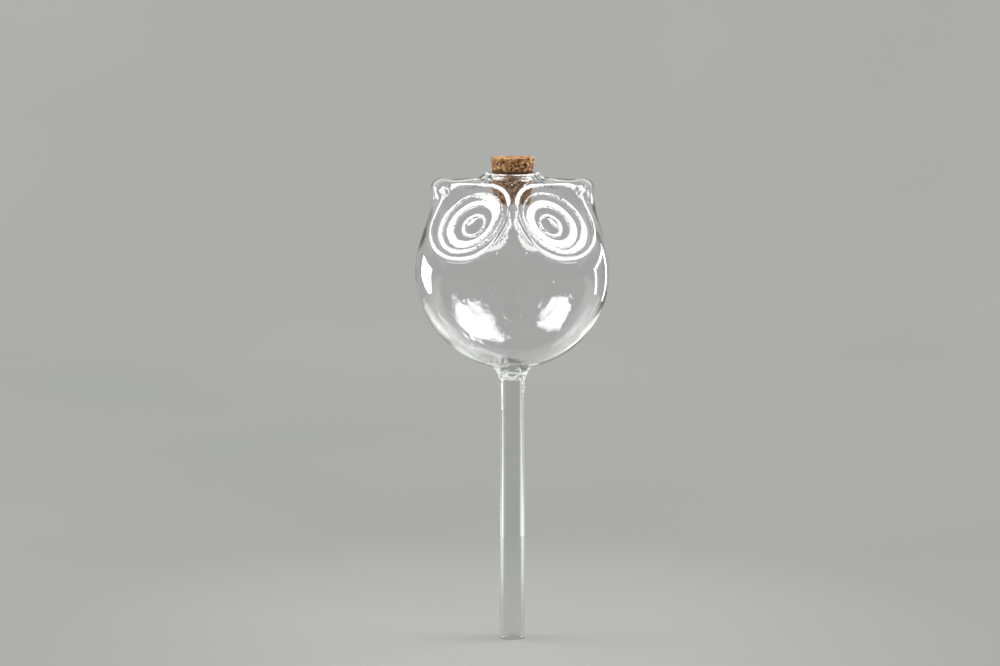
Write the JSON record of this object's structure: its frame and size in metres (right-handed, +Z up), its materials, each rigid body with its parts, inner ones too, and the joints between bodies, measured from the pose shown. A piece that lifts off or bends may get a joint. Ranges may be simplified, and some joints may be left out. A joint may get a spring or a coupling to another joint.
{
  "type": "watering globe",
  "caption": "Owl-shaped clear glass watering globe on a long hollow stem, filled through the neck and closed by a tapered cork.",
  "frame": {"origin": "centre of the stem's upper end, where the collar of fused glass starts", "axes": "+Z up along the stem, -Y the way the owl's face looks, +X to the right in the picture"},
  "size_m": [0.086, 0.086, 0.2161],
  "materials": {
    "clear_glass": "polished clear blown glass",
    "cork": "raw agglomerated cork"
  },
  "bodies": {
    "vessel": {"globe": "clear_glass", "weld_collar": "clear_glass", "stem": "clear_glass"},
    "stopper": {"cork_stopper": "cork"}
  },
  "joints": [
    {"name": "cork_pull", "type": "slide", "parent": "vessel", "child": "stopper", "axis": [0, 0, 1], "range_m": [0, 0.045]}
  ]
}
